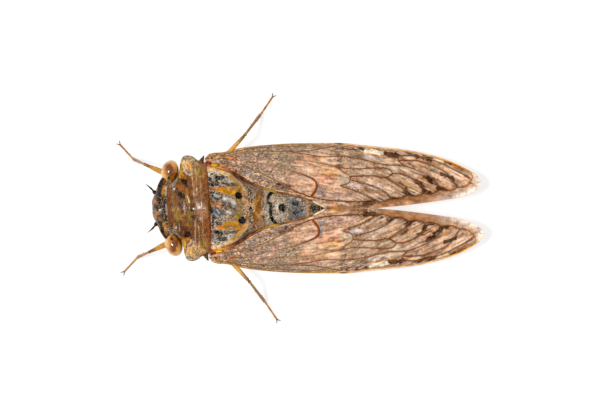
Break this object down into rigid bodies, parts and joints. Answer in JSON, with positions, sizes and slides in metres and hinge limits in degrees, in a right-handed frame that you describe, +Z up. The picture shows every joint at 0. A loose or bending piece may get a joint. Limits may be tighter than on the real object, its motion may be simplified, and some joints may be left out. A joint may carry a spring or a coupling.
{
  "type": "cicada",
  "caption": "Life-size resting cicada with a broad head, domed back and long mottled wings folded back like a roof.",
  "frame": {"origin": "middle of the whole animal's outline, on the floor that its feet stand on", "axes": "+X along the body from head to wing tips, +Y to the animal's right, +Z up"},
  "size_m": [0.0422, 0.0266, 0.0093],
  "materials": {
    "cuticle_head": "brown and black mottled cuticle, satin",
    "compound_eye": "orange-brown glossy eye",
    "dark_cuticle": "dark brown satin cuticle",
    "cuticle_back": "olive, ochre and grey cuticle with black marks, satin",
    "cuticle_under": "tan cuticle with fine pale down, dull",
    "cuticle_abdomen": "grey frosted cuticle, dull",
    "leg_cuticle": "ochre and brown banded cuticle, satin",
    "forewing_membrane": "mottled brown leathery wing with red-brown veins, satin",
    "hindwing_membrane": "smoky ochre membrane"
  },
  "bodies": {
    "root": {"head": "cuticle_head", "eye_right": "compound_eye", "eye_left": "compound_eye", "antenna_right": "dark_cuticle", "antenna_left": "dark_cuticle", "rostrum": "dark_cuticle", "pronotum": "cuticle_back", "mesonotum": "cuticle_back", "thorax_underside": "cuticle_under", "abdomen": "cuticle_abdomen", "abdomen_tip": "cuticle_abdomen", "operculum_right": "cuticle_under", "operculum_left": "cuticle_under", "leg_front_right": "leg_cuticle", "leg_front_left": "leg_cuticle", "leg_mid_right": "leg_cuticle", "leg_mid_left": "leg_cuticle", "leg_hind_right": "leg_cuticle", "leg_hind_left": "leg_cuticle", "forewing_right": "forewing_membrane", "forewing_left": "forewing_membrane", "hindwing_right": "hindwing_membrane", "hindwing_left": "hindwing_membrane"}
  },
  "joints": []
}
